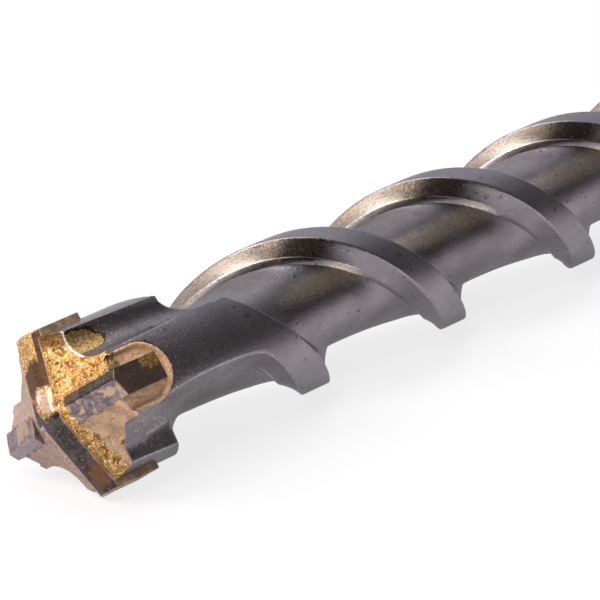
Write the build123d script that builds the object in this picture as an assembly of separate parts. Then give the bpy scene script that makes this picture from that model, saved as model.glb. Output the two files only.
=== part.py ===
from build123d import *
import math
import os

os.makedirs("parts", exist_ok=True)

# Driving sizes, millimetres and degrees
# The bit is built along Z, point at z = 0 and shank below it, then laid down at the end.
overall_length = 320.0
working_length = 200.0
cutting_diameter = 25.0
land_step = 1.05            # lands and arms run this far inside the cutting radius
flute_lead = 67.8           # right-hand double-start helix
core_share = 0.57           # flute floor as a share of the land radius
runout_length = 22.0        # the flutes lift out over this length at the shank end
neck_length = 4.0           # cone between the last lands and the shank
roll_angle = 36.0           # how far the main plate is rolled from upright at rest

plate_thickness = 4.7
plate_depth = 13.3          # back end of the main plate
plate_rise = 0.32           # fall of the roof per millimetre of radius
plate_relief = 0.177        # fall of the roof across the plate thickness
chisel_flat = 0.45          # the point is blunted by this much

side_thickness = 4.1
side_depth = 12.9
side_inner = 3.9            # inner end of a side plate from the axis
side_ridge = 3.13           # ridge height behind the point at the outer end
side_fall = 1.0             # facet edges below the ridge
side_rise = 0.30            # climb of the ridge toward the centre per millimetre

braze_film = 0.15           # solder thickness beside and behind every plate
coat_thickness = 0.35       # solder left on the front of the head
front_setback = 2.2         # coat surface behind the point on the axis
front_rise = 0.364          # fall of the coat surface per millimetre of radius
wedge_slope = 0.9           # solder fillet climbing to the plate edges
wedge_drop = 0.35           # top of the fillet below the plate edge

pocket_half = 4.3           # round-ended recess around each side plate
pocket_end = 15.3
pocket_step = 0.7

shank_diameter = 18.0
shank_chamfer = 1.5
slot_length = 56.0          # open drive slots
slot_width = 4.0
slot_floor = 6.6            # slot floor from the axis
lock_start = 32.0           # closed locking grooves, from the shank end
lock_length = 24.0
lock_radius = 3.0
lock_centre = 9.6

cutter_r = cutting_diameter / 2
land_r = cutter_r - land_step
core_r = core_share * land_r
shank_r = shank_diameter / 2
rim_reach = 3.5             # the groove cutters reach this far outside the lands
shank_end = -(overall_length + chisel_flat)


def spot(radius, angle):
    """Point at a radius and an angle in the section plane."""
    turn = math.radians(angle)
    return Vector(radius * math.cos(turn), radius * math.sin(turn))


def eased(corner, toward, share):
    """Point part of the way from a corner toward a neighbour."""
    return corner + (toward - corner) * share


def helix_turn(z, start):
    """Angle of a helical edge at height z that crosses angle 0 at height start."""
    return 360 * (z - start) / flute_lead


# Heights where a helical land edge crosses the near side arm
rear_start = -38.4
front_start = -32.5

# Channel behind a side arm: height, the two wall angles, floor radius
trail_cut = [
    (3.0, 25.6, 64.0, 0.783 * land_r),
    (-6.5, 25.6, 64.0, 0.783 * land_r),
    (-15.0, 26.6, 60.8, 0.783 * land_r),
    (-24.0, 27.4, 58.0, 0.77 * land_r),
    (-36.0, 27.4, 56.0, 0.76 * land_r),
]

# Channel ahead of a side arm, turning into the leaning front flank of a land:
# height, angle of the far wall, angle of the near wall, floor radius, foot spread
lead_cut = [
    (3.0, 116.0, 154.0, 0.785 * land_r, 11.0),
    (-6.5, 116.0, 154.0, 0.785 * land_r, 11.0),
    (-13.5, 114.0, 158.5, 0.745 * land_r, 12.5),
    (-18.5, 112.5, 161.3, 0.70 * land_r, 14.0),
    (-25.0, 112.0, 162.2, 0.685 * land_r, 15.0),
    (-30.5, 110.0, 161.2, 0.685 * land_r, 16.0),
    (-33.5, 107.0, 159.3, 0.685 * land_r, 16.5),
    (-35.0, 105.0, 157.0, 0.685 * land_r, 16.5),
    (-37.0, 99.0, 149.5, 0.685 * land_r, 16.5),
    (-40.0, 84.0, 135.0, 0.685 * land_r, 16.5),
    (-42.5, 71.0, 121.5, 0.685 * land_r, 16.5),
    (-48.0, 45.0, 95.5, 0.685 * land_r, 16.5),
    (-54.0, 15.5, 65.5, 0.685 * land_r, 16.5),
]

# Flute floor and the steep rear flank of a land, ending the main arms with a slope:
# height, angle of the flank, far end, floor radius, angle from flank to floor
rear_cut = [
    (-14.5, 131.0, 150.0, 0.775 * land_r, 8.0),
    (-17.0, 112.0, 148.0, 0.68 * land_r, 15.0),
    (-20.5, 86.0, 147.0, 0.60 * land_r, 20.0),
    (-24.0, 63.0, 146.0, core_r, 22.0),
    (-27.5, 44.0, 146.0, core_r, 22.0),
    (-30.5, 34.0, 145.0, core_r, 20.0),
    (-32.5, 28.5, 143.0, core_r, 17.0),
    (-34.0, 21.5, 141.0, core_r, 15.0),
    (-36.0, 11.5, 138.0, core_r, 13.0),
    (-38.5, -2.0, 127.0, core_r, 13.0),
    (-41.5, -16.0, 112.0, core_r, 13.0),
    (-44.0, -29.0, 99.0, core_r, 13.0),
    (-48.0, -48.5, 81.0, core_r, 13.0),
    (-54.0, -81.5, 50.0, core_r, 13.0),
]


def rear_section(z, flank, far, floor, spread, lift=0.0):
    """Closed outline with the steep rear flank of a land and the flute floor."""
    outer, rim_r = land_r + lift, land_r + lift + rim_reach
    edge, foot = spot(outer, flank), spot(floor, flank + spread)
    top = edge + (edge - foot) * rim_reach / (outer - floor)
    end = spot(max(floor, 0.71 * land_r + lift), far)
    middle = spot(floor * 1.01, flank + spread + 0.4 * (far - flank - spread))
    rim = spot(rim_r, far)
    upper, lower = eased(foot, top, 0.1), eased(foot, middle, 0.12)
    return Wire([
        Edge.make_line(top, upper),
        Edge.make_bezier(upper, foot, lower),
        Edge.make_three_point_arc(lower, middle, end),
        Edge.make_line(end, rim),
        Edge.make_three_point_arc(rim, spot(rim_r + 1, (flank + far) / 2), top),
    ]).moved(Location((0, 0, z)))


def lead_section(z, far, near, floor, spread, lift=0.0):
    """Closed outline with the floor and the leaning wall of an arm or a land."""
    outer, rim_r = land_r + lift, land_r + lift + rim_reach
    stretch = rim_reach / (outer - floor)
    edge, foot = spot(outer, near), spot(floor, near - spread)
    far_edge, far_foot = spot(outer, far), spot(floor, far + 11.0)
    top = edge + (edge - foot) * stretch
    far_top = far_edge + (far_edge - far_foot) * stretch
    middle = spot(floor, (near - spread + far + 11.0) / 2)
    upper, lower = eased(foot, top, 0.3), eased(foot, middle, 0.3)
    far_upper, far_lower = eased(far_foot, far_top, 0.3), eased(far_foot, middle, 0.3)
    return Wire([
        Edge.make_line(far_top, far_upper),
        Edge.make_bezier(far_upper, far_foot, far_lower),
        Edge.make_three_point_arc(far_lower, middle, lower),
        Edge.make_bezier(lower, foot, upper),
        Edge.make_line(upper, top),
        Edge.make_three_point_arc(top, spot(rim_r + 1, (far + near) / 2), far_top),
    ]).moved(Location((0, 0, z)))


def scoop_section(z, near, far, floor):
    """Closed outline of a round-bottomed channel between two arms."""
    rim_r = land_r + rim_reach
    first, last = spot(land_r, near), spot(land_r, far)
    first_rim, last_rim = spot(rim_r, near), spot(rim_r, far)
    half_way = (near + far) / 2
    return Wire([
        Edge.make_line(first_rim, first),
        Edge.make_three_point_arc(first, spot(floor, half_way), last),
        Edge.make_line(last, last_rim),
        Edge.make_three_point_arc(last_rim, spot(rim_r + 1, half_way), first_rim),
    ]).moved(Location((0, 0, z)))


def below(shape, point, normal):
    """Part of a shape under the plane through a point."""
    return split(shape, bisect_by=Plane(origin=point, z_dir=normal), keep=Keep.BOTTOM)


# Helical stations down to the run-out, where every cutter lifts clear of the lands
helix_top = -60.0
station_count = round((working_length + helix_top) / 7.0)
for index in range(station_count + 1):
    z = helix_top - (working_length + helix_top) * index / station_count
    climb = max(0.0, 1 - (z + working_length) / runout_length)
    lift = (land_r + 0.6 - core_r) * climb ** 2
    rear, front = helix_turn(z, rear_start), helix_turn(z, front_start) + 180
    lead_cut.append((z, front - 50.0, front, 0.685 * land_r + lift, 16.5, lift))
    rear_cut.append((z, rear, front - 15.0, core_r + lift, 13.0, lift))


def turned(*corners):
    """Solid turned about Z from a half outline of radius and height pairs."""
    return revolve(make_face(Plane.XZ * Polyline(*corners, close=True)), Axis.Z)


# Turned blank with the front of the head: a cone, and solder fillets up to the plates
wide = cutter_r + 4
cone = turned(
    (0, -working_length), (wide, -working_length),
    (wide, -front_setback - front_rise * wide), (0, -front_setback),
)
block = Pos(0, 0, -working_length / 2) * Box(2 * wide, 2 * wide, working_length)
main_wedge = block
side_wedge = block
main_top = -plate_relief * plate_thickness / 2 - wedge_drop
side_top = -side_ridge - side_fall - wedge_drop
for sign_x in (1, -1):
    for sign_y in (1, -1):
        main_wedge = below(
            main_wedge,
            (sign_x * plate_thickness / 2, 0, main_top),
            (sign_x * wedge_slope, sign_y * plate_rise, 1),
        )
        side_wedge = below(
            side_wedge,
            (sign_x * cutter_r, sign_y * side_thickness / 2, side_top),
            (sign_x * side_rise, sign_y * wedge_slope, 1),
        )
    main_wedge = below(main_wedge, (0, 0, main_top), (0, sign_x * plate_rise, 1))
    side_wedge = below(
        side_wedge, (sign_x * cutter_r, 0, side_top), (sign_x * side_rise, 0, 1)
    )
bar = Pos(0, 0, -working_length / 2) * Cylinder(land_r, working_length)
blank = (cone + main_wedge + side_wedge) & bar

# Channels and flutes, each cut twice half a turn apart
cutters = [
    Solid.make_loft([scoop_section(*row) for row in trail_cut]),
    Solid.make_loft([rear_section(*row) for row in rear_cut]),
    Solid.make_loft([lead_section(*row) for row in lead_cut]),
]
fluted = blank
for cutter in cutters:
    for turn in (0, 180):
        fluted = fluted - cutter.rotate(Axis.Z, turn)

# Plates: the roof of the main plate has one facet falling to each side of the chisel
main_plate = Pos(0, 0, -plate_depth / 2) * (
    Box(plate_thickness, 2 * cutter_r, plate_depth) & Cylinder(cutter_r, plate_depth)
)
main_plate = below(main_plate, (0, 0, -chisel_flat), (0, 0, 1))
for sign in (1, -1):
    main_plate = below(
        main_plate, (0, 0, 0), (sign * plate_relief, sign * plate_rise, 1)
    )

side_length = cutter_r - side_inner
side_plate = Pos(0, 0, -side_depth / 2) * (
    Pos(side_inner + side_length / 2, 0, 0) * Box(side_length, side_thickness, side_depth)
    & Cylinder(cutter_r, side_depth)
)
for sign in (1, -1):
    side_plate = below(
        side_plate,
        (cutter_r, 0, -side_ridge),
        (side_rise, sign * 2 * side_fall / side_thickness, 1),
    )

# Space the solder takes: slots around the plates, a round-ended recess, the front coat
head_depth = plate_depth + 3
main_slot = Pos(0, 0, -(plate_depth + braze_film) / 2) * Box(
    plate_thickness + 2 * braze_film, 2 * wide, plate_depth + braze_film
)
slot_reach = wide - side_inner + braze_film
side_slot = Pos(wide - slot_reach / 2, 0, -(side_depth + braze_film) / 2) * Box(
    slot_reach, side_thickness + 2 * braze_film, side_depth + braze_film
)
recess_centre = pocket_end - pocket_half
recess = extrude(
    Plane.YZ * (
        Pos(0, -recess_centre / 2) * Rectangle(2 * pocket_half, recess_centre)
        + Pos(0, -recess_centre) * Circle(pocket_half)
    ),
    wide,
)
recess = recess - Pos(0, 0, -head_depth) * Cylinder(land_r - pocket_step, 4 * head_depth)
recess_coat = recess & Cylinder(land_r - pocket_step + braze_film, 4 * head_depth)
steel_front = front_setback + coat_thickness
above_front = turned(
    (0, 2), (wide, 2), (wide, -steel_front - front_rise * wide), (0, -steel_front),
)
slots = main_slot
recesses = []
coats = []
side_plates = []
for turn in (0, 180):
    slots = slots + side_slot.rotate(Axis.Z, turn)
    recesses.append(recess.rotate(Axis.Z, turn))
    coats.append(recess_coat.rotate(Axis.Z, turn))
    side_plates.append(side_plate.rotate(Axis.Z, turn))

# Shank with a cone up to the lands, open drive slots and closed locking grooves
shank = turned(
    (0, shank_end), (shank_r - shank_chamfer, shank_end),
    (shank_r, shank_end + shank_chamfer), (shank_r, -working_length - neck_length),
    (land_r, -working_length), (0, -working_length),
)
drive_slot = Pos(slot_floor + shank_r / 2, 0, shank_end + slot_length / 2) * Box(
    shank_r, slot_width, slot_length
)
lock_groove = Pos(lock_centre, 0, shank_end + lock_start + lock_length / 2) * Cylinder(
    lock_radius, lock_length
)
for turn in (90, 234, 306):
    shank = shank - drive_slot.rotate(Axis.Z, turn)
for turn in (0, 180):
    shank = shank - lock_groove.rotate(Axis.Z, turn)

# Steel body and the one solder body, cut from the same fluted head
steel = fluted - above_front - slots
for space in recesses:
    steel = steel - space
bit_body = steel + shank

head_zone = Pos(0, 0, -head_depth / 2) * Box(2 * wide, 2 * wide, head_depth)
head = fluted & head_zone
braze = head & (above_front + slots)
for space in recesses:
    braze = braze - space
for coat in coats:
    braze = braze + (coat & head)
braze = braze - Pos(0, 0, -plate_depth / 2 + wide / 2) * Box(
    plate_thickness, 2 * wide, plate_depth + wide
)
side_space = Pos(side_inner + wide / 2, 0, -side_depth / 2 + wide / 2) * Box(
    wide, side_thickness, side_depth + wide
)
for turn in (0, 180):
    braze = braze - side_space.rotate(Axis.Z, turn)

# Laid down: point toward -X, resting on the lands, main plate rolled from upright
roll = math.radians(roll_angle)
rest = Plane(
    origin=(-overall_length / 2 - chisel_flat, 0, land_r),
    x_dir=(0, -math.cos(roll), math.sin(roll)),
    z_dir=(-1, 0, 0),
)
pieces = {
    "bit_body": bit_body,
    "main_plate": main_plate,
    "side_plate_near": side_plates[0],
    "side_plate_far": side_plates[1],
    "braze_fill": braze,
}
for name, piece in pieces.items():
    export_step(rest.location * piece, f"parts/{name}.step")
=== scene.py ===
import bpy
import numpy as np
from mathutils import Euler, Matrix, Vector


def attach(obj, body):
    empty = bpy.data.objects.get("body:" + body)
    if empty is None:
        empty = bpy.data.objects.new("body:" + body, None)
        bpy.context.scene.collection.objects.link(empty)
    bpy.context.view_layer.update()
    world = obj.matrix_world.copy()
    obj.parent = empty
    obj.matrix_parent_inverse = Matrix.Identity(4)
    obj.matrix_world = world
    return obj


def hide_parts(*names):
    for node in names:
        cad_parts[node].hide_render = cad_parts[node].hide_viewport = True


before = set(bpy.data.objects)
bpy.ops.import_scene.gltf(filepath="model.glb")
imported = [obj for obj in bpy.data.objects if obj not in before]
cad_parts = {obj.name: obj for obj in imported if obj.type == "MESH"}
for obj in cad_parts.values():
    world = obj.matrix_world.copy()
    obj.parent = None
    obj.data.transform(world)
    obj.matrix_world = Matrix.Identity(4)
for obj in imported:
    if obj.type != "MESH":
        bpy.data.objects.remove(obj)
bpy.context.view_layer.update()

# Steel body
# One bar of tool steel: four-arm head, two right-hand flutes and the slotted shank.
# Rolled and milled hot, hardened, then blasted; the head is tinted by the heat of brazing.

# In millimetres and degrees. The drill is worked out upright, as it is milled, with its
# point near zero and its shank toward -Z, and is laid down at the end.
LENGTH = 320.0
CHISEL_FLAT = 0.45
SHANK_END = -(LENGTH + CHISEL_FLAT)
FLUTE_END = -200.0
LAND_R = 11.45
CORE_R = 0.57 * LAND_R
SHANK_R = 9.0

# Channel behind a side arm: height, angles of its two walls, floor as a share of LAND_R
channel_rows = [
    (3.0, 25.6, 64.0, 0.783), (-6.5, 25.6, 64.0, 0.783), (-15.0, 26.6, 60.8, 0.783),
    (-24.0, 27.4, 58.0, 0.77), (-36.0, 27.4, 56.0, 0.76),
]
# Channel ahead of a side arm, which turns into the leaning front flank of a land: height,
# angles of the far and near wall, floor, angle from the near wall's edge to its foot
front_rows = [
    (3.0, 116.0, 154.0, 0.785, 11.0), (-6.5, 116.0, 154.0, 0.785, 11.0),
    (-13.5, 114.0, 158.5, 0.745, 12.5), (-18.5, 112.5, 161.3, 0.70, 14.0),
    (-25.0, 112.0, 162.2, 0.685, 15.0), (-30.5, 110.0, 161.2, 0.685, 16.0),
    (-33.5, 107.0, 159.3, 0.685, 16.5), (-35.0, 105.0, 157.0, 0.685, 16.5),
    (-37.0, 99.0, 149.5, 0.685, 16.5), (-40.0, 84.0, 135.0, 0.685, 16.5),
    (-42.5, 71.0, 121.5, 0.685, 16.5), (-48.0, 45.0, 95.5, 0.685, 16.5),
    (-54.0, 15.5, 65.5, 0.685, 16.5),
]
# Steep rear flank of a land and the bed of the flute: height, angle of the flank's edge,
# far end of the bed, floor, angle from the flank's edge to its foot
rear_rows = [
    (-14.5, 131.0, 150.0, 0.775, 8.0), (-17.0, 112.0, 148.0, 0.68, 15.0),
    (-20.5, 86.0, 147.0, 0.60, 20.0), (-24.0, 63.0, 146.0, 0.57, 22.0),
    (-27.5, 44.0, 146.0, 0.57, 22.0), (-30.5, 34.0, 145.0, 0.57, 20.0),
    (-32.5, 28.5, 143.0, 0.57, 17.0), (-34.0, 21.5, 141.0, 0.57, 15.0),
    (-36.0, 11.5, 138.0, 0.57, 13.0), (-38.5, -2.0, 127.0, 0.57, 13.0),
    (-41.5, -16.0, 112.0, 0.57, 13.0), (-44.0, -29.0, 99.0, 0.57, 13.0),
    (-48.0, -48.5, 81.0, 0.57, 13.0), (-54.0, -81.5, 50.0, 0.57, 13.0),
]

# The front cut spans FRONT_CUT_TURN, and the bed ends BED_END_TURN short of the next edge
FLUTE_LEAD = 67.8
REAR_START = -38.4
FRONT_START = -32.5
HELIX_TOP = -60.0
FRONT_CUT_TURN = 50.0
BED_END_TURN = 15.0


def land_edges(z):
    """Angles of the rear and front edge of a land: each turns once in the flutes' lead,
    counted from the height where it crosses a side arm, the front edge half a turn on."""
    return 360 * (z - REAR_START) / FLUTE_LEAD, 360 * (z - FRONT_START) / FLUTE_LEAD + 180


# From HELIX_TOP down both cuts only follow the edges of the lands
helix_z = np.linspace(HELIX_TOP, FLUTE_END, 36)
for height in helix_z:
    rear_edge, front_edge = land_edges(height)
    front_rows.append((height, front_edge - FRONT_CUT_TURN, front_edge, *front_rows[-1][3:]))
    rear_rows.append((height, rear_edge, front_edge - BED_END_TURN, *rear_rows[-1][3:]))


def read_rows(rows, z):
    """Columns of a table of heights at any z: a cubic through each pair of rows,
    whose slope at a row is the mean of the two chords that meet there."""
    table = np.array(rows)[::-1]
    height, value = table[:, 0], table[:, 1:]
    step = np.diff(height)
    chord = np.diff(value, axis=0) / step[:, None]
    slope = np.vstack([chord[:1], (chord[1:] + chord[:-1]) / 2, chord[-1:]])
    flat = np.clip(np.ravel(z), height[0], height[-1])
    at = np.clip(np.searchsorted(height, flat) - 1, 0, len(step) - 1)
    p = ((flat - height[at]) / step[at])[:, None]
    run = step[at][:, None]
    out = (
        (1 + 2 * p) * (1 - p) ** 2 * value[at] + p * (1 - p) ** 2 * run * slope[at]
        + p * p * (3 - 2 * p) * value[at + 1] + p * p * (p - 1) * run * slope[at + 1]
    )
    return out.T.reshape((-1,) + np.shape(z))


def soft_max(a, b, width):
    """The larger of two heights, rounded where they meet: half of their sum and of the
    root of their squared difference plus a squared width."""
    return (a + b + np.sqrt((a - b) ** 2 + width ** 2)) / 2


def soft_min(a, b, width):
    """The smaller of two heights, rounded in the same way, with the root taken off."""
    return (a + b - np.sqrt((a - b) ** 2 + width ** 2)) / 2


# A radius outside the drill, in the directions where a cut takes nothing away
CLEAR = 40.0


def wall(turn, edge_r, edge, foot_r, foot):
    """Radius along each direction of the straight wall from an edge to its foot: where a
    ray from the axis meets the line through the two points, and CLEAR where it misses."""
    turn, edge, foot = np.radians(turn), np.radians(edge), np.radians(foot)
    dx = foot_r * np.cos(foot) - edge_r * np.cos(edge)
    dy = foot_r * np.sin(foot) - edge_r * np.sin(edge)
    reach = edge_r * np.cos(edge) * dy - edge_r * np.sin(edge) * dx
    along = np.cos(turn) * dy - np.sin(turn) * dx
    radius = reach / np.where(np.abs(along) < 1e-6, 1e-6, along)
    return np.where((radius > 0) & (radius < CLEAR), radius, CLEAR)


def half_turn(turn, middle):
    """A direction moved by half turns until it lies within a quarter turn of another."""
    return middle + (turn - middle + 90) % 180 - 90


def smooth_step(a, b, t):
    """Goes from 0 at a to 1 at b along a cubic that is level at both ends."""
    p = np.clip((t - a) / (b - a), 0, 1)
    return p * p * (3 - 2 * p)


def channel_cut(turn, z):
    """Radius of the round-bottomed channel behind a side arm: where a ray from the axis
    meets the circle through the tops of its two walls and the middle of its floor."""
    near, far, floor = read_rows(channel_rows, z)
    half = np.radians((far - near) / 2)
    floor = floor * LAND_R
    centre = (LAND_R ** 2 - floor ** 2) / (2 * (LAND_R * np.cos(half) - floor))
    off = np.radians(half_turn(turn, (near + far) / 2) - (near + far) / 2)
    inside = (centre - floor) ** 2 - (centre * np.sin(off)) ** 2
    radius = centre * np.cos(off) - np.sqrt(np.maximum(inside, 0))
    return np.where((inside > 0) & (z > channel_rows[-1][0]) & (np.cos(off) > 0), radius, CLEAR)


RUNOUT = 22.0
PAST_LANDS = 0.6
CREASE_R = 0.775 * LAND_R
BED_END_R = 0.71 * LAND_R


def run_out(z):
    """Rise of both cuts over the last RUNOUT millimetres of the flutes, until they leave
    the lands: it grows with the square of the way."""
    climb = np.clip(1 - (z - FLUTE_END) / RUNOUT, 0, 1)
    return (LAND_R + PAST_LANDS - CORE_R) * climb ** 2


def front_cut(turn, z):
    """Radius of the cut ahead of an arm or land, that of its front flank alone, and the
    angle to the flank's crease. The flank is straight from its edge to the crease, an
    apron goes on flatter to the floor, and a far wall closes the cut; the greatest of
    them is taken. From arm to land the flank and apron reach further into the cut."""
    far, near, floor, spread = read_rows(front_rows, z)
    lift = run_out(z)
    floor = floor * LAND_R + lift
    local = half_turn(turn, (near + far) / 2)
    crease = np.maximum(CREASE_R + lift, floor + 0.05)
    on_land = smooth_step(-12, -26, z)
    bend = near - spread * (0.60 + 0.22 * on_land)
    flank = wall(local, LAND_R + lift, near, crease, bend)
    apron = wall(local, crease, bend, floor, near - spread * (1.05 + 0.35 * on_land))
    back = wall(local, LAND_R + lift, far, floor, far + 11)
    radius = soft_max(soft_max(soft_max(flank, apron, 0.08), floor, 0.5), back, 0.6)
    return np.where(z < FLUTE_END, CLEAR, radius), flank, np.abs(local - bend)


def rear_cut(turn, z):
    """Radius of the cut behind a land: the greater of its steep rear flank and a bed that
    climbs from the floor to its far end with the way to the power 2.6."""
    flank, far, floor, spread = read_rows(rear_rows, z)
    lift = run_out(z)
    floor = floor * LAND_R + lift
    local = half_turn(turn, (flank + far) / 2)
    share = np.clip((local - flank - spread) / (far - flank - spread), 0, 1)
    bed = floor + (np.maximum(floor, BED_END_R + lift) - floor) * share ** 2.6
    steep = wall(local, LAND_R + lift, flank, floor, flank + spread)
    outside = (local > far) | (z > rear_rows[0][0]) | (z < FLUTE_END)
    return np.where(outside, CLEAR, soft_max(steep, bed, 0.5))


NECK = 4.0
CHAMFER = 1.5


def body_radius(turn, z):
    """Radius of the body at an angle and a height: the turned bar, from the lands' cylinder
    over a cone to the chamfered shank, lowered by the deepest of the three cuts. The
    deepest cut, the front flank and the angle to its crease come with it."""
    ahead, flank, from_crease = front_cut(turn, z)
    cut = soft_min(soft_min(ahead, rear_cut(turn, z), 0.5), channel_cut(turn, z), 0.35)
    bar = LAND_R + (SHANK_R - LAND_R) * np.clip((FLUTE_END - z) / NECK, 0, 1)
    bar = bar - np.clip(SHANK_END + CHAMFER - z, 0, CHAMFER)
    return soft_min(bar, cut, 0.16), cut, flank, from_crease


SLOT_TOP = SHANK_END + 56.0
SLOT_FLOOR = 6.6
SLOT_HALF_TURN = 14.0
LOCK_END = SHANK_END + 32.0
LOCK_CENTRE = 9.6
LOCK_R = 3.0


def keyed(turn, z, radius):
    """Radius of the shank with its three drive slots, flat-floored and open to its end, and
    two closed locking grooves, where a ray meets a circle set out from the axis."""
    for middle in (90.0, 234.0, 306.0):
        off = (turn - middle + 180) % 360 - 180
        slot = np.where(np.abs(off) < SLOT_HALF_TURN, SLOT_FLOOR / np.cos(np.radians(off)), CLEAR)
        radius = np.where(z < SLOT_TOP, np.minimum(radius, slot), radius)
    for middle in (0.0, 180.0):
        off = np.radians((turn - middle + 180) % 360 - 180)
        inside = LOCK_R ** 2 - (LOCK_CENTRE * np.sin(off)) ** 2
        round_floor = LOCK_CENTRE * np.cos(off) - np.sqrt(np.maximum(inside, 0))
        groove = np.where((inside > 0) & (np.cos(off) > 0), round_floor, CLEAR)
        here = (z < SLOT_TOP) & (z > LOCK_END)
        radius = np.where(here, np.minimum(radius, groove), radius)
    return radius


RECESS_HALF = 4.25
RECESS_BACK = 11.0
RECESS_STEP = 0.7


def in_recess(turn, z):
    """1 inside the recess round a side plate and 0 outside, by the distance to a slot's
    middle line, which ends RECESS_BACK behind the point, so that the slot's end is round."""
    local = np.radians(half_turn(turn, 0.0))
    across = LAND_R * np.sin(local)
    past = np.maximum(-z - RECESS_BACK, 0)
    return 1 - smooth_step(-0.12, 0.12, np.hypot(across, past) - RECESS_HALF)


CUTTER_R = 12.5
MAIN_HALF = 2.35
MAIN_RISE = 0.32
SIDE_HALF = 2.05
SIDE_RISE = 0.30
FRONT_SETBACK = 2.2
FRONT_RISE = 0.364
MAIN_FILLET_TOP = 0.766
SIDE_FILLET_TOP = 4.48
FILLET_SLOPE = 0.9


def front_height(x, y):
    """Height of the front of the head: a flat cone, and two crossed ridges that climb to
    the plates' edges, blended where they meet."""
    past_main = np.maximum(np.abs(x) - MAIN_HALF, 0)
    past_side = np.maximum(np.abs(y) - SIDE_HALF, 0)
    cone = -FRONT_SETBACK - FRONT_RISE * np.hypot(x, y)
    main = -MAIN_FILLET_TOP - MAIN_RISE * np.abs(y) - FILLET_SLOPE * past_main
    side = -SIDE_FILLET_TOP - SIDE_RISE * (np.abs(x) - CUTTER_R) - FILLET_SLOPE * past_side
    return soft_max(soft_max(cone, main, 0.5), side, 0.5)


ROLL = np.radians(36.0)
MIDDLE = LENGTH / 2 + CHISEL_FLAT


def lay_down(x, y, z):
    """Turns the drill from upright to lying on its lands with the point toward -X and half
    its length either side of zero, rolled by ROLL about its axis, in metres."""
    place = [
        -z - MIDDLE,
        np.sin(ROLL) * y - np.cos(ROLL) * x,
        LAND_R + np.sin(ROLL) * x + np.cos(ROLL) * y,
    ]
    return np.stack(place, -1) * 0.001


def grid_piece(name, points, around, poles=(None, None)):
    """Mesh of a grid of points, rows by columns, as quads; around joins the last column
    to the first, and a pole closes the first or last row with a fan."""
    rows, columns = points.shape[:2]
    index = np.arange(rows * columns).reshape(rows, columns)
    if around:
        index = np.hstack([index, index[:, :1]])
    quads = np.stack(
        [index[:-1, :-1], index[1:, :-1], index[1:, 1:], index[:-1, 1:]], -1
    ).reshape(-1, 4)
    faces = quads.tolist()
    spots = points.reshape(-1, 3)
    for row, pole, order in ((0, poles[0], 1), (-1, poles[1], -1)):
        if pole is not None:
            edge = index[row][::order]
            tip = np.full(len(edge) - 1, len(spots))
            faces += np.stack([edge[:-1], edge[1:], tip], -1).tolist()
            spots = np.vstack([spots, pole])
    mesh = bpy.data.meshes.new(name)
    mesh.from_pydata(spots.tolist(), [], faces)
    mesh.shade_smooth()
    mesh.set_sharp_from_angle(angle=np.radians(50))
    piece = bpy.data.objects.new(name, mesh)
    bpy.context.scene.collection.objects.link(piece)
    return piece


def paint(piece, **values):
    """Stores numbers on the vertices of a piece, for its material to read."""
    for name, value in values.items():
        layer = piece.data.attributes.new(name, "FLOAT", "POINT")
        padded = np.zeros(len(piece.data.vertices), np.float32)
        padded[: value.size] = np.ravel(value)
        layer.data.foreach_set("value", padded)


# Lines that the mesh's columns follow: height, edge of a side arm or rear edge of a land,
# end of the channel or bed after it, and both edges of the front cut
edge_rows = [
    (height, *read_rows(channel_rows, height)[:2], *read_rows(front_rows, height)[:2])
    for height in (3.0, -6.5, -15.0, -20.0, -25.0, -30.5)
]
# Where a side arm's edge bends over into the rear edge of a land, and the bed widens
for height, rear_edge in (
    (FRONT_START, 27.6), (-34.0, 21.5), (-36.0, 11.5), (-38.5, -2.0), (-41.5, -16.0),
    (-44.0, -29.0), (-48.0, -48.5), (-54.0, -81.5),
):
    bed_turn = 30 + 14 * min(1, (FRONT_START - height) / 9)
    edge_rows.append((height, rear_edge, rear_edge + bed_turn, *read_rows(front_rows, height)[:2]))
for height in helix_z:
    rear_edge, front_edge = land_edges(height)
    edge_rows.append(
        (height, rear_edge, rear_edge + 44, front_edge - FRONT_CUT_TURN, front_edge)
    )


def edge_turns(z):
    """Angles of the columns of the body's grid at heights z: even shares between the
    edges of the lands and arms, so that every edge runs along one column."""
    arm, far, front_far, land = read_rows(edge_rows, z)
    stops = [land - 180, arm, far, front_far, land]
    spans = [
        low + (high - low) * np.arange(count) / count
        for low, high, count in zip(stops[:-1], stops[1:], (46, 44, 44, 46))
    ]
    half = np.concatenate(spans, axis=-1)
    return np.concatenate([half, half + 180], axis=-1)


# Steel under the brazing alloy on the front, and the height where the head's outline is read
COAT = 0.35
HEAD_TOP = -6.0
columns = edge_turns(np.array([[HEAD_TOP]]))
edge_r = body_radius(columns, np.full_like(columns, HEAD_TOP))[0]
for repeat in range(4):
    edge_z = front_height(
        edge_r * np.cos(np.radians(columns)), edge_r * np.sin(np.radians(columns))
    ) - COAT
    edge_r = body_radius(columns, edge_z)[0]

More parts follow.
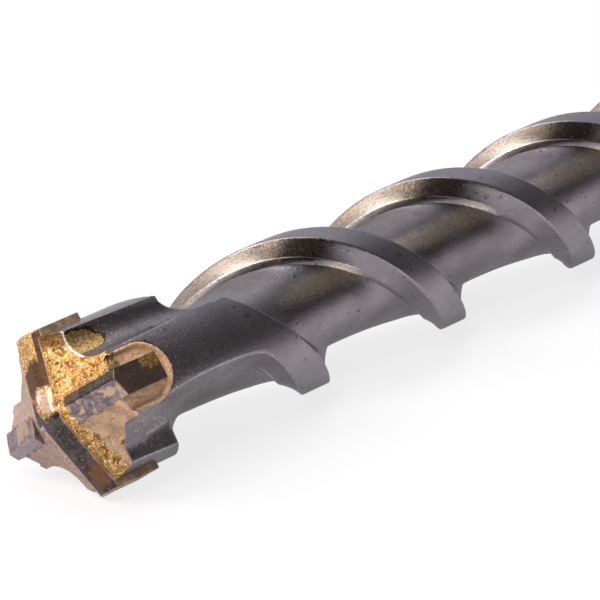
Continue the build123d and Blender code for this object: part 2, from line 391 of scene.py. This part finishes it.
# Rows are closest at the front. They stand in pairs, PAIR either way of a line, where the
# shank's outline steps.
PAIR = 0.05
head_rows = np.linspace(0, 1, 135)[:, None] ** 1.15
head_z = edge_z + (HELIX_TOP - edge_z) * head_rows
flute_z = np.linspace(HELIX_TOP, FLUTE_END, 118)[1:]
shank_z = np.array([
    FLUTE_END - 0.8, FLUTE_END - 2.0, FLUTE_END - 3.2, FLUTE_END - NECK, FLUTE_END - NECK - 0.1,
    -234.0, SLOT_TOP + PAIR, SLOT_TOP - PAIR, -276.0, LOCK_END + PAIR, LOCK_END - PAIR,
    -303.0, SHANK_END + CHAMFER + PAIR, SHANK_END + CHAMFER - PAIR, SHANK_END + PAIR, SHANK_END,
])
lower_z = np.hstack([flute_z, shank_z])[:, None]
body_z = np.vstack([head_z, np.repeat(lower_z, columns.shape[1], 1)])
body_turn = edge_turns(np.vstack([HEAD_TOP + (HELIX_TOP - HEAD_TOP) * head_rows, lower_z]))
radius, cut, front, from_crease = body_radius(body_turn, body_z)
radius = radius - np.maximum(radius - (LAND_R - RECESS_STEP), 0) * in_recess(body_turn, body_z)
radius = keyed(body_turn, body_z, radius)
body_x = radius * np.cos(np.radians(body_turn))
body_y = radius * np.sin(np.radians(body_turn))
body = grid_piece(
    "bit_body_surface", lay_down(body_x, body_y, body_z), True,
    (lay_down(0.0, 0.0, -FRONT_SETBACK - COAT), lay_down(0.0, 0.0, SHANK_END)),
)

# Where each look of the steel lies: on the lands, the front flanks with a painted shade near
# the top of the bar, the flanks' creases and the edges of all cuts with painted highlights,
# the warmed head, along one side of the core, and where brass has run into a channel. The
# flanks' bronze tint is painted stronger on the side of the bar that faces up and back, as
# painted warm light.
MM_PER_DEGREE = 0.19  # of turn, just inside the lands
round_bar = (body_turn + 90) % 360 - 90
# Painted warm light: the half of each turn that faces up and back, where the flanks' bronze tint is
# made stronger
lit_side_painted_warm = smooth_step(15, 60, round_bar) * smooth_step(190, 150, round_bar)
fluted = body_z > FLUTE_END
past_head = smooth_step(-20, -36, body_z)
on_flank = np.where(radius < LAND_R - 0.1, smooth_step(0.5, 0.1, np.abs(radius - front)), 0)
on_flank = on_flank * smooth_step(8.2, 8.8, radius) * past_head
on_crease = np.where(radius < LAND_R - 1.5, smooth_step(0.16, 0.05, from_crease * MM_PER_DEGREE), 0)
on_core = smooth_step(LAND_R - 1.5, LAND_R - 3.5, radius)
paint(
    body,
    land=smooth_step(0.35, 0.05, LAND_R - radius) * fluted,
    # The flanks' bronze tint, made stronger on the side that faces up and back as painted warm
    # light
    flank=on_flank * (0.45 + 0.55 * lit_side_painted_warm),
    # Painted shade: a dark patch on the flanks near the top of the bar
    scale=on_flank * smooth_step(24, 6, np.abs(round_bar - 46)),
    # A painted highlight along each flank's crease, brighter on one side of the bar
    crease=on_crease * past_head * smooth_step(-190, -180, body_z)
    * (0.6 + 0.4 * smooth_step(-5, 25, round_bar)),
    spill=smooth_step(1.15, 0.45, np.hypot((body_turn - 53) / 12, (body_z + 7.5) / 5.5)),
    # A painted highlight along the edges of the cuts
    rim=np.exp(-((cut - LAND_R) / 0.30) ** 2) * fluted,
    head=smooth_step(-45.0, -12.0, body_z),
    bloom=smooth_step(30, 0, np.abs(round_bar - 14)) * on_core
    * smooth_step(-40, -54, body_z) * fluted,
)
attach(body, "root")
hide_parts("bit_body")


def colour(code):
    """Linear colour of an sRGB hex code, each part over 255 with the sRGB curve undone:
    a straight line near black, and the power 2.4 above it."""
    parts = np.array([int(code[at:at + 2], 16) for at in (1, 3, 5)]) / 255
    linear = np.where(parts <= 0.04045, parts / 12.92, ((parts + 0.055) / 1.055) ** 2.4)
    return (*linear.tolist(), 1.0)


def finish(name):
    """An empty material and its node tree."""
    made = bpy.data.materials.new(name)
    made.use_nodes = True
    made.node_tree.nodes.clear()
    return made, made.node_tree


def add(tree, kind, inputs, **settings):
    """Adds a node with its settings. Each input is given a value, a colour code, an output
    that feeds it, or a node, whose first output in use feeds it."""
    node = tree.nodes.new(kind)
    for name, value in settings.items():
        setattr(node, name, value)
    for name, value in inputs.items():
        if isinstance(value, bpy.types.Node):
            value = next(output for output in value.outputs if output.enabled)
        if isinstance(value, bpy.types.NodeSocket):
            tree.links.new(value, node.inputs[name])
        else:
            node.inputs[name].default_value = colour(value) if isinstance(value, str) else value
    return node


def lay_colours(tree, base, rows):
    """Colours laid over a base in turn. A row gives what the layer follows, the values of
    it where the layer starts and where it is full, its share there, and its colour."""
    for source, start, full, share, tint in rows:
        amount = add(
            tree, "ShaderNodeMapRange",
            {"Value": source, "From Min": start, "From Max": full, "To Max": share},
            interpolation_type="SMOOTHSTEP",
        )
        base = add(tree, "ShaderNodeMix", {0: amount, 6: base, 7: tint}, data_type="RGBA")
    return base


# The turn and shift that stand the drill upright again, from metres back to millimetres
upright = Matrix((
    (0, 0, -1), (-np.cos(ROLL), np.sin(ROLL), 0), (np.sin(ROLL), np.cos(ROLL), 0),
)).transposed()
stood_up = {
    "Location": -(upright @ Vector((-MIDDLE, 0, LAND_R))),
    "Rotation": upright.to_euler(),
    "Scale": (1000, 1000, 1000),
}


def on_drill(tree):
    """Place on the upright drill in millimetres: the Object coordinates, which are metres
    on the lying drill, made larger, turned and shifted back."""
    lying = add(tree, "ShaderNodeTexCoord", {}).outputs["Object"]
    return add(tree, "ShaderNodeMapping", {"Vector": lying, **stood_up})


# Hardened tool steel, blasted with fine shot: lilac grey with a faint bronze oxide tint
# and half gloss. The shot's marks are about 0.1 mm wide, too fine to show, so the grain is
# drawn at 0.3 mm. Bright flecks are painted glints of the blasted skin and spots where the
# oxide is knocked off, a painted highlight runs half way down each front flank along its
# crease, a painted shade lies dark on the flanks near the top of the bar, a painted highlight
# runs dotted along the edges of the cuts, and brass has run into a channel.
steel, tree = finish("blasted_tool_steel")
place = on_drill(tree)
# Noise by the size of its patches in millimetres, its detail and its roughness
cloud, grain, speck, fleck = [
    add(tree, "ShaderNodeTexNoise", {
        "Vector": place, "Scale": 1 / size, "Detail": detail, "Roughness": share,
    })
    for size, detail, share in (
        (9.0, 3.0, 0.5), (0.30, 3.0, 0.6), (0.9, 2.0, 0.5), (0.42, 4.0, 0.7),
    )
]
land, flank, crease, rim, head, spill, bloom, scale = [
    add(tree, "ShaderNodeAttribute", {}, attribute_name=name).outputs["Fac"]
    for name in ("land", "flank", "crease", "rim", "head", "spill", "bloom", "scale")
]
# The flanks' bronze tint, with painted warm light on the side that faces up and back
bronze_and_painted_light = add(tree, "ShaderNodeMath", {0: flank, 1: grain}, operation="MULTIPLY")
heated = add(tree, "ShaderNodeMath", {0: head, 1: cloud}, operation="MULTIPLY")
# Painted highlight along the flanks' creases, near white
crease_highlight = add(tree, "ShaderNodeMath", {0: crease, 1: cloud}, operation="MULTIPLY")
# Painted highlight, dotted by the grain, along the edges of the cuts
rim_highlight = add(tree, "ShaderNodeMath", {0: rim, 1: grain}, operation="MULTIPLY")
clustered = add(tree, "ShaderNodeMath", {0: cloud, 1: 0.25, 2: fleck}, operation="MULTIPLY_ADD")
# Bright flecks: painted glints of the blasted skin and spots where the oxide is knocked off
chips_and_glints = add(tree, "ShaderNodeMath", {0: head, 1: 0.07, 2: clustered}, operation="MULTIPLY_ADD")
bloomed = add(tree, "ShaderNodeMath", {0: bloom, 1: fleck}, operation="MULTIPLY")
# Painted shade, dark on the flanks near the top of the bar, broken by flecks
scaled = add(tree, "ShaderNodeMath", {0: scale, 1: fleck}, operation="MULTIPLY")
spilt = add(tree, "ShaderNodeMath", {0: speck, 1: 0.5, 2: spill}, operation="MULTIPLY_ADD")
poured = lay_colours(tree, "#94682c", ((grain, 0.35, 0.58, 1.0, "#f0c987"),))
base = lay_colours(tree, "#7b7678", (
    (cloud, 0.35, 0.65, 1.0, "#8f898d"),
    (land, 0.0, 1.0, 0.5, "#8f8a90"),
    (bronze_and_painted_light, 0.28, 0.58, 0.8, "#c0ae9a"),
    (scaled, 0.10, 0.55, 0.9, "#3f3634"),
    (heated, 0.45, 0.70, 0.4, "#8a7764"),
    (speck, 0.66, 0.72, 0.6, "#332e30"),
    (bloomed, 0.12, 0.58, 0.85, "#efdfcf"),
    (chips_and_glints, 0.765, 0.83, 0.8, "#cdc5b8"),
    (crease_highlight, 0.20, 0.40, 0.95, "#fff3e2"),
    (rim_highlight, 0.35, 0.60, 1.0, "#c6bec0"),
    (spilt, 0.50, 0.62, 1.0, "#5a3d20"),
    (spilt, 0.66, 0.78, 1.0, poured),
))
rough = add(tree, "ShaderNodeMapRange", {"Value": grain, "To Min": 0.26, "To Max": 0.42})
height = add(tree, "ShaderNodeMath", {0: speck, 1: 0.5, 2: grain}, operation="MULTIPLY_ADD")
bump = add(tree, "ShaderNodeBump", {"Height": height, "Strength": 0.5, "Distance": 0.00009})
shader = add(tree, "ShaderNodeBsdfPrincipled", {
    "Base Color": base, "Metallic": 1.0, "Roughness": rough, "Normal": bump,
})
add(tree, "ShaderNodeOutputMaterial", {"Surface": shader})
body.data.materials.append(steel)

# Brazing alloy
# Copper and zinc filler that ran around the carbide plates and was left on the front.
# It froze with a grainy golden skin, and where it was heated longest it is matt brown.

# The sheet covers the front, rolls over a lip that stands OVERHANG past the steel, and is
# tucked under it. The lip is fuller where the sheet meets a recess.
OVERHANG = 0.02
sheet_turn = np.radians(columns)
pocket = in_recess(columns, edge_z)
rim_r = edge_r - np.maximum(edge_r - (LAND_R - 0.5), 0) * pocket
curl = 0.22 + 0.5 * pocket
flat_r = np.linspace(0.02, 1, 80)[:, None] * (rim_r - curl)
flat_z = front_height(flat_r * np.cos(sheet_turn), flat_r * np.sin(sheet_turn))
lip_turn = np.radians(np.linspace(15, 90, 6))[:, None]
lip_r = rim_r + OVERHANG - curl * (1 - np.sin(lip_turn))
lip_z = flat_z[-1:] - curl * (1 - np.cos(lip_turn))
sheet_r = np.vstack([flat_r, lip_r, rim_r + OVERHANG, rim_r - 0.4])
sheet_z = np.vstack([flat_z, lip_z, lip_z[-1:] - 0.16, lip_z[-1:] - 0.22])
sheet_x, sheet_y = sheet_r * np.cos(sheet_turn), sheet_r * np.sin(sheet_turn)
# Both of its poles lie hidden inside the main plate
braze = grid_piece(
    "braze_sheet", lay_down(sheet_x, sheet_y, sheet_z), True,
    (lay_down(0.0, 0.0, -0.9), lay_down(0.0, 0.0, -3.2)),
)

# Where it is gilt: one quarter of the front, and a band along the main plate that widens
# downward. Then the scorched corner, a painted highlight on the lip of a channel, and the
# sunk edges of plates.
near_side = smooth_step(1.6, 2.4, sheet_x)
band = smooth_step(2.6, 0.1, sheet_x - MAIN_HALF - 0.09 * np.maximum(-sheet_y - 1, 0))
from_rim = rim_r - sheet_r
paint(
    braze,
    gilt=near_side * np.maximum(smooth_step(-0.6, 0.8, sheet_y), band),
    burnt=near_side * smooth_step(56, 68, columns) * smooth_step(98, 84, columns)
    * smooth_step(3.2, 0.4, from_rim),
    # A painted highlight along the lip of the channel's front edge
    lip=smooth_step(0.24, 0.03, from_rim) * smooth_step(36, 42, columns)
    * smooth_step(68, 63, columns) * smooth_step(200, 180, columns),
    edge=np.maximum(
        smooth_step(0.9, 0.2, np.abs(np.abs(sheet_x) - MAIN_HALF - 0.1)),
        smooth_step(0.8, 0.1, np.abs(np.abs(sheet_y) - SIDE_HALF - 0.1)) * (np.abs(sheet_x) > 3.4),
    ),
)
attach(braze, "root")
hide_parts("braze_fill")

# A recess's coat is a little wider than the recess. Its floor lies COAT_STEP below the
# lands, climbs to just above them along its border, and tucks under the steel at the edge.
COAT_HALF = 4.62
COAT_STEP = 0.55
across, along = np.meshgrid(
    np.linspace(0.01 - COAT_HALF, COAT_HALF - 0.01, 90), np.linspace(0, 1, 130),
)
coats = []
for side, name in ((1, "braze_recess_near"), (-1, "braze_recess_far")):
    front_r = LAND_R - COAT_STEP
    start = front_height(np.sqrt(front_r ** 2 - across ** 2), across) - 0.2
    end = -RECESS_BACK - np.sqrt(np.maximum(COAT_HALF ** 2 - across ** 2, 0))
    coat_z = start + (end - start) * along
    inset = COAT_HALF - np.hypot(across, np.maximum(-coat_z - RECESS_BACK, 0))
    climb = smooth_step(0.85, 0.42, inset)
    tuck = smooth_step(0.12, 0.0, inset)
    coat_r = LAND_R - COAT_STEP + (COAT_STEP + 0.015) * climb - 0.6 * tuck
    coat = grid_piece(
        name, lay_down(side * np.sqrt(coat_r ** 2 - across ** 2), side * across, coat_z), False,
    )
    upper_half = smooth_step(0.5, 2.0, side * across) * (side > 0)
    paint(coat, gilt=smooth_step(-8.4, -6.2, coat_z) * upper_half)
    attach(coat, "root")
    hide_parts("braze_fill")
    coats.append(coat)

# Brass filler as it froze: bright gold that sparkles with a grain of 0.45 mm where it ran
# thick, matt pinkish brown where it was heated longest, greyer on the far side, painted
# lighter out at the recess against the shade that falls there, dark where flux was left, and a
# near white painted highlight along the channel's front edge. The brown skin is oxide, so it
# is less metallic and rougher.
brass, tree = finish("frozen_brass_filler")
place = on_drill(tree)
# Noise by the size of its patches in millimetres, its detail, roughness and distortion
cloud, lumps, grain, spark, pit = [
    add(tree, "ShaderNodeTexNoise", {
        "Vector": place, "Scale": 1 / size, "Detail": detail, "Roughness": share,
        "Distortion": swirl,
    })
    for size, detail, share, swirl in (
        (2.4, 3.0, 0.5, 0.0), (1.1, 2.0, 0.5, 0.6), (0.45, 4.0, 0.7, 0.0),
        (0.30, 2.0, 0.6, 0.0), (1.3, 2.0, 0.5, 0.0),
    )
]
gilt, burnt, lip, edge = [
    add(tree, "ShaderNodeAttribute", {}, attribute_name=name).outputs["Fac"]
    for name in ("gilt", "burnt", "lip", "edge")
]
thick = add(tree, "ShaderNodeMath", {0: cloud, 1: 1.1, 2: gilt}, operation="MULTIPLY_ADD")
golden = add(
    tree, "ShaderNodeMapRange", {"Value": thick, "From Min": 0.85, "From Max": 1.35},
    interpolation_type="SMOOTHSTEP",
)
scorched = add(tree, "ShaderNodeMath", {0: cloud, 1: 0.9, 2: burnt}, operation="MULTIPLY_ADD")
sunk = add(tree, "ShaderNodeMath", {0: edge, 1: lumps}, operation="MULTIPLY")
sideways = add(tree, "ShaderNodeSeparateXYZ", {"Vector": place}).outputs["X"]
gold = lay_colours(tree, "#c3924e", (
    (lumps, 0.46, 0.34, 0.8, "#6b4420"),
    (lumps, 0.54, 0.68, 0.8, "#ecc98d"),
    (grain, 0.50, 0.34, 0.75, "#6b4420"),
    (spark, 0.55, 0.66, 0.9, "#fff0cc"),
))
brown = lay_colours(tree, "#a98a70", (
    (cloud, 0.35, 0.65, 1.0, "#c9a98d"),
    (grain, 0.50, 0.64, 0.7, "#e2c196"),
    (grain, 0.46, 0.34, 0.5, "#7d5c44"),
    (lumps, 0.40, 0.30, 0.5, "#8b7a7c"),
    (sideways, -1.0, -3.5, 0.55, "#93858a"),
    # Painted light: paler out at the recess, against the shade that falls there
    (sideways, 9.4, 10.4, 0.65, "#eec39c"),
))
base = lay_colours(tree, brown, (
    (golden, 0.0, 1.0, 1.0, gold),
    (scorched, 0.62, 1.10, 0.85, "#553822"),
    (sunk, 0.42, 0.58, 0.55, "#5a3a20"),
    (pit, 0.69, 0.74, 0.85, "#4a2c17"),
    # A near white painted highlight on the channel's lip
    (lip, 0.0, 1.0, 1.0, "#fff3e6"),
))
shine = add(tree, "ShaderNodeMapRange", {"Value": golden, "To Min": 0.3, "To Max": 0.95})
rough = add(tree, "ShaderNodeMapRange", {"Value": golden, "To Min": 0.58, "To Max": 0.28})
depth = add(tree, "ShaderNodeMapRange", {"Value": golden, "To Min": 0.6, "To Max": 1.0})
lump = add(tree, "ShaderNodeBump", {"Height": lumps, "Strength": 0.7, "Distance": 0.0006})
bump = add(
    tree, "ShaderNodeBump",
    {"Height": grain, "Normal": lump, "Strength": depth, "Distance": 0.0002},
)
shader = add(tree, "ShaderNodeBsdfPrincipled", {
    "Base Color": base, "Metallic": shine, "Roughness": rough, "Normal": bump,
})
add(tree, "ShaderNodeOutputMaterial", {"Surface": shader})
for piece in [braze] + coats:
    piece.data.materials.append(brass)

# Main carbide plate
# One plate of sintered tungsten carbide the full width of the drill, ground to a roof
# with a short chisel edge, relieved behind each cutting edge, and brazed into its slot.

MAIN_DEPTH = 13.3
ROOF_FALL = 0.177
RELIEF_START = 1.3
RELIEF_DROP = 0.62
BROKEN_EDGE = 0.00011


def plate_bar(name, rings):
    """Bar through a row of closed outlines, each given as its x, y and z; its edges are
    broken by a narrow bevel, as grinding leaves them."""
    x, y, z = np.stack(rings, 1)
    points = lay_down(x, y, z)
    bar = grid_piece(name, points, True, (points[0].mean(0), points[-1].mean(0)))
    bar.data.shade_flat()
    broken = bar.modifiers.new("broken_edge", "BEVEL")
    broken.width = BROKEN_EDGE
    broken.segments = 2
    broken.limit_method = "ANGLE"
    broken.angle_limit = np.radians(16)
    broken.harden_normals = True
    return bar


def main_ring(y):
    """Outline of the main plate at a place along it: level foot, upright sides, and a roof
    that falls from the middle, faster behind the cutting edge, cut off at the chisel. The
    end rings are turned to the cutting radius."""
    side = 1.0 if y >= 0 else -1.0
    x = np.array([-MAIN_HALF, -RELIEF_START, -0.6, 0.0, 0.6, RELIEF_START, MAIN_HALF])
    relief = np.clip((side * x - RELIEF_START) / (MAIN_HALF - RELIEF_START), 0, 1)
    relief = relief * RELIEF_DROP * np.clip(np.abs(y) / 1.5, 0, 1)
    top = np.minimum(-CHISEL_FLAT, -ROOF_FALL * np.abs(x) - MAIN_RISE * np.abs(y)) - relief
    x = np.append(x, [MAIN_HALF, -MAIN_HALF])
    z = np.append(top, [-MAIN_DEPTH, -MAIN_DEPTH])
    reach = np.sqrt(CUTTER_R ** 2 - x ** 2) / CUTTER_R
    return x, y * (1 + (reach - 1) * (np.abs(y) == CUTTER_R)), z


outward = (0.5, 1.4, 2.6, 5.0, 9.0, CUTTER_R)
stations = [-y for y in outward[::-1]] + list(outward)
main_plate = plate_bar("main_plate_ground", [main_ring(y) for y in stations])
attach(main_plate, "root")
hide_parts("main_plate")


def smeared_brass(tree, grain, spark):
    """Colour of brass smeared thin over carbide: dark between its grains, and sparkling."""
    return lay_colours(tree, "#b98a48", (
        (grain, 0.50, 0.34, 0.8, "#6b4420"),
        (spark, 0.52, 0.64, 0.9, "#fbe6b6"),
    ))


def patch(tree, place, stray, centre, reach):
    """An egg-shaped patch, 1 at its centre and 0 at its reach each way in millimetres. Its
    border strays: each place is moved by a noise's colour times a distance."""
    way = add(
        tree, "ShaderNodeVectorMath", {0: stray[0].outputs["Color"], 1: (0.5, 0.5, 0.5)},
        operation="SUBTRACT",
    )
    moved = add(
        tree, "ShaderNodeVectorMath", {0: way, 1: (stray[1],) * 3, 2: place},
        operation="MULTIPLY_ADD",
    )
    inside = add(
        tree, "ShaderNodeMapping", {"Vector": moved, "Location": centre, "Scale": reach},
        vector_type="TEXTURE",
    )
    return add(tree, "ShaderNodeTexGradient", {"Vector": inside}, gradient_type="SPHERICAL")


# Sintered carbide, ground: dark brown-grey and half glossy, with grinding marks too fine to
# show, so its grain is drawn at 0.42 mm. Brass has run over the upper end, a pale scaled
# patch with a golden fringe lies beside the chisel, the relief facets carry painted shade,
# dark brown, above and painted light, lilac, below, and flux has left the broad sides and the
# two outer ends matt beige.
carbide, tree = finish("ground_carbide_gilded")
place = on_drill(tree)
cloud, grain, spark = [
    add(tree, "ShaderNodeTexNoise", {
        "Vector": place, "Scale": 1 / size, "Detail": detail, "Roughness": share,
    })
    for size, detail, share in ((2.0, 4.0, 0.65), (0.42, 4.0, 0.7), (0.26, 2.0, 0.6))
]
gilded, brown, pale, low = [
    patch(tree, place, (cloud, 3.2), centre, reach)
    for centre, reach in (
        ((-2.8, 13.2, -4.0), (6.4, 12.6, 9.0)), ((0.4, 5.6, -2.2), (4.2, 4.6, 4.0)),
        ((0.5, 2.9, -1.1), (2.7, 2.7, 3.0)), ((0.9, -9.4, -3.4), (2.2, 3.6, 4.0)),
    )
]
spot = add(tree, "ShaderNodeSeparateXYZ", {"Vector": place})
# The relief facets: painted shade on the upper one, painted light on the lower one
upper = add(tree, "ShaderNodeMath", {0: spot.outputs["Y"], 1: 0.0}, operation="GREATER_THAN")
shaded_relief_up = add(tree, "ShaderNodeMath", {0: spot.outputs["X"], 1: upper}, operation="MULTIPLY")
lower = add(tree, "ShaderNodeMath", {0: spot.outputs["Y"], 1: 0.0}, operation="LESS_THAN")
lit_relief_low = add(tree, "ShaderNodeMath", {0: spot.outputs["X"], 1: lower}, operation="MULTIPLY")
# How far out a spot lies toward a broad side or an outer end, whichever is nearer
reach = add(tree, "ShaderNodeMath", {0: spot.outputs["Y"]}, operation="ABSOLUTE")
to_end = add(tree, "ShaderNodeMath", {0: reach, 1: 9.9}, operation="SUBTRACT")
to_side = add(tree, "ShaderNodeMath", {0: spot.outputs["X"]}, operation="ABSOLUTE")
border = add(tree, "ShaderNodeMath", {0: to_end, 1: to_side}, operation="MAXIMUM")
gold = smeared_brass(tree, grain, spark)
scaly = lay_colours(tree, "#d3ac92", (
    (cloud, 0.46, 0.58, 1.0, "#f6e2d6"),
    (grain, 0.48, 0.34, 0.6, "#9a7458"),
    (spark, 0.55, 0.66, 1.0, "#fff6ee"),
))
beige = lay_colours(tree, "#a48a70", (
    (cloud, 0.45, 0.60, 0.8, "#d0b491"),
    (grain, 0.48, 0.34, 0.5, "#5d4938"),
))
base = lay_colours(tree, "#3f3838", (
    (cloud, 0.40, 0.62, 1.0, "#574e4f"),
    (grain, 0.44, 0.32, 0.5, "#332b2a"),
    (spark, 0.60, 0.68, 0.7, "#a3988e"),
    # Painted light, lilac, on the lower relief facet
    (lit_relief_low, -1.20, -1.35, 0.85, "#b0a5a8"),
    (gilded, 0.10, 0.22, 1.0, gold),
    # Painted shade, dark brown, on the upper relief facet
    (shaded_relief_up, 1.20, 1.35, 0.95, "#2e2321"),
    (brown, 0.22, 0.44, 0.92, "#4c352b"),
    (pale, 0.06, 0.30, 0.9, gold),
    (pale, 0.24, 0.50, 1.0, scaly),
    (low, 0.25, 0.60, 0.7, "#7d5733"),
    (border, 2.24, 2.30, 0.9, beige),
))
shine = add(
    tree, "ShaderNodeMapRange",
    {"Value": border, "From Min": 2.24, "From Max": 2.30, "To Min": 0.9, "To Max": 0.2},
)
rough = add(tree, "ShaderNodeMapRange", {"Value": grain, "To Min": 0.26, "To Max": 0.46})
bump = add(tree, "ShaderNodeBump", {"Height": grain, "Strength": 0.55, "Distance": 0.00012})
shader = add(tree, "ShaderNodeBsdfPrincipled", {
    "Base Color": base, "Metallic": shine, "Roughness": rough, "Normal": bump,
})
add(tree, "ShaderNodeOutputMaterial", {"Surface": shader})
main_plate.data.materials.append(carbide)

# Side carbide plates
# Two shorter plates of the same carbide across the other arms, each ground to a ridge
# that lies off its middle, and brazed into its own slot.

SIDE_DEPTH = 12.9
SIDE_INNER = 3.9
RIDGE_TOP = 3.13
RIDGE_OFF = 0.85


def side_ring(side, reach):
    """Outline of a side plate at a distance from the axis: level foot, upright sides, and
    two ground facets, one steeper than the other, that meet at a ridge off the middle. The
    outer ring is turned to the cutting radius."""
    across = np.array([-SIDE_HALF, -0.9, 0.2, RIDGE_OFF, 1.45, SIDE_HALF])
    fall = np.where(across < RIDGE_OFF, (RIDGE_OFF - across) * 0.42, (across - RIDGE_OFF) * 0.75)
    top = -RIDGE_TOP - SIDE_RISE * (reach - CUTTER_R) - fall
    across = np.append(across, [SIDE_HALF, -SIDE_HALF])
    z = np.append(top, [-SIDE_DEPTH, -SIDE_DEPTH])
    out = np.where(reach == CUTTER_R, np.sqrt(CUTTER_R ** 2 - across ** 2), reach)
    return side * out, side * across, z


# The same ground carbide as it looks on each plate, in two copies whose upper facets differ by
# painted light and shade: the near one has painted shade, nearly black, on its upper facet,
# lilac with beige smears of filler on the lower one, and brown with a spot of gold on its
# outer end; the far one is lilac brown all over under a beige smear, its upper facet painted
# lighter.
for side, name, looks in (
    (1, "side_plate_near", ("#6a6064", "#8c8083", "#c4a988", "#221a1b", "#6b5b4f")),
    (-1, "side_plate_far", ("#6b5f61", "#877a7c", "#b09a80", "#8b7f84", "#8d7b6c")),
):
    rings = [side_ring(side, reach) for reach in (SIDE_INNER, 6.0, 8.2, 10.4, CUTTER_R)]
    plate = plate_bar(name + "_ground", rings)
    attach(plate, "root")
    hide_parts(name)

    side_carbide, tree = finish(name.replace("side_plate", "ground_carbide"))
    place = on_drill(tree)
    cloud, smear, grain, spark = [
        add(tree, "ShaderNodeTexNoise", {
            "Vector": place, "Scale": 1 / size, "Detail": detail, "Roughness": share,
            "Distortion": swirl,
        })
        for size, detail, share, swirl in (
            (1.6, 4.0, 0.65, 0.0), (2.6, 3.0, 0.5, 1.0), (0.4, 4.0, 0.6, 0.0),
            (0.24, 2.0, 0.6, 0.0),
        )
    ]
    gilded = patch(tree, place, (cloud, 3.0), (12.4, 1.4, -11.0), (3.0, 2.2, 3.4))
    spot = add(tree, "ShaderNodeSeparateXYZ", {"Vector": place})
    # The upper facet, which carries painted shade on the near plate and painted light on the far
    # one
    upper_facet_painted = add(
        tree, "ShaderNodeMath", {0: spot.outputs["Y"], 1: float(side)}, operation="MULTIPLY",
    )
    end = add(
        tree, "ShaderNodeMath", {0: spot.outputs["X"], 1: float(side)}, operation="MULTIPLY",
    )
    lower, light, beige, upper, outer = looks
    base = lay_colours(tree, lower, (
        (cloud, 0.42, 0.60, 1.0, light),
        (smear, 0.50, 0.57, 0.85, beige),
        # Painted shade or painted light on the upper facet, by the plate
        (upper_facet_painted, 0.60, 0.80, 0.9, upper),
        (end, 12.15, 12.3, 0.95, outer),
        (grain, 0.44, 0.32, 0.5, "#3d3433"),
        (spark, 0.62, 0.70, 0.6, "#b9aea6"),
        (gilded, 0.30, 0.42, 1.0, smeared_brass(tree, grain, spark)),
    ))
    bump = add(tree, "ShaderNodeBump", {"Height": grain, "Strength": 0.45, "Distance": 0.0001})
    shader = add(tree, "ShaderNodeBsdfPrincipled", {
        "Base Color": base, "Metallic": 0.8, "Roughness": 0.36, "Normal": bump,
    })
    add(tree, "ShaderNodeOutputMaterial", {"Surface": shader})
    plate.data.materials.append(side_carbide)

# Floor, light and camera
# A white table that runs out of view, broad soft lamps, and the photograph's camera.

bpy.ops.mesh.primitive_plane_add(size=8.0, location=(0, 0, 0))
floor = bpy.context.object
floor.name = "floor"

# Matt white lacquer, sprayed: no gloss at all. It glows in part for the camera, so that it
# is nearly as white as paper but keeps the drill's soft shadow, and less in the metal.
white, tree = finish("white_table")
matt = add(tree, "ShaderNodeBsdfPrincipled", {
    "Base Color": "#e9ebf6", "Roughness": 0.9, "Specular IOR Level": 0.0,
})
glow = add(tree, "ShaderNodeEmission", {"Color": "#ffffff", "Strength": 1.0})
ray = add(tree, "ShaderNodeLightPath", {})
mirrored = add(
    tree, "ShaderNodeMath", {0: ray.outputs["Is Glossy Ray"], 1: 0.35}, operation="MULTIPLY",
)
part = add(
    tree, "ShaderNodeMath", {0: ray.outputs["Is Camera Ray"], 1: 0.8, 2: mirrored},
    operation="MULTIPLY_ADD",
)
mixed = add(tree, "ShaderNodeMixShader", {0: part, 1: matt, 2: glow})
add(tree, "ShaderNodeOutputMaterial", {"Surface": mixed})
floor.data.materials.append(white)

# The room is pale with a dim side in front, so that the metal shows a soft change of
# tone, and pure white where the camera looks straight into it
scene = bpy.context.scene
scene.view_settings.view_transform = "Standard"
room = bpy.data.worlds.new("studio")
room.use_nodes = True
scene.world = room
tree = room.node_tree
tree.nodes.clear()
way = add(tree, "ShaderNodeTexCoord", {}).outputs["Generated"]
toward_front = add(
    tree, "ShaderNodeVectorMath", {0: way, 1: (0.0, -0.94, 0.34)}, operation="DOT_PRODUCT",
).outputs["Value"]
shade = lay_colours(tree, "#cfd0da", ((toward_front, 0.05, 0.55, 1.0, "#585452"),))
soft = add(tree, "ShaderNodeBackground", {"Color": shade, "Strength": 1.0})
clear = add(tree, "ShaderNodeBackground", {"Color": "#ffffff", "Strength": 1.0})
seen = add(tree, "ShaderNodeLightPath", {}).outputs["Is Camera Ray"]
both = add(tree, "ShaderNodeMixShader", {0: seen, 1: soft, 2: clear})
add(tree, "ShaderNodeOutputWorld", {"Surface": both})

# Square lamps, placed in metres and turned to a spot near the head: width, watts, colour
lit_spot = Vector((-0.1, 0, 0.01))
for name, stand, width, watts, tint in (
    ("lamp_left", (-0.75, 0.55, 0.75), 0.5, 9.0, "#ffead2"),
    ("lamp_top", (0.1, 0.25, 1.1), 0.6, 5.0, "#ffffff"),
    ("lamp_front", (-0.75, -0.15, 0.75), 0.25, 3.5, "#fff6ea"),
):
    data = bpy.data.lights.new(name, "AREA")
    data.size = width
    data.energy = watts
    data.color = colour(tint)[:3]
    lamp = bpy.data.objects.new(name, data)
    lamp.location = stand
    lamp.rotation_euler = (Vector(stand) - lit_spot).to_track_quat("Z", "Y").to_euler()
    scene.collection.objects.link(lamp)

# The camera stands 0.87 m from the middle of the drill, on the side of its point, and
# looks 20 degrees down and 37.5 degrees off the drill's axis
CAMERA_STAND = (-0.685729, -0.447481, 0.280910)
CAMERA_TURN = (69.95588, 0.12038, -52.51531)
lens = bpy.data.cameras.new("camera")
lens.sensor_width = 36.0
lens.lens = 322.43
lens.clip_end = 20.0
camera = bpy.data.objects.new("camera", lens)
camera.matrix_world = Matrix.LocRotScale(
    Vector(CAMERA_STAND), Euler(np.radians(CAMERA_TURN).tolist()), None,
)
scene.collection.objects.link(camera)
scene.camera = camera
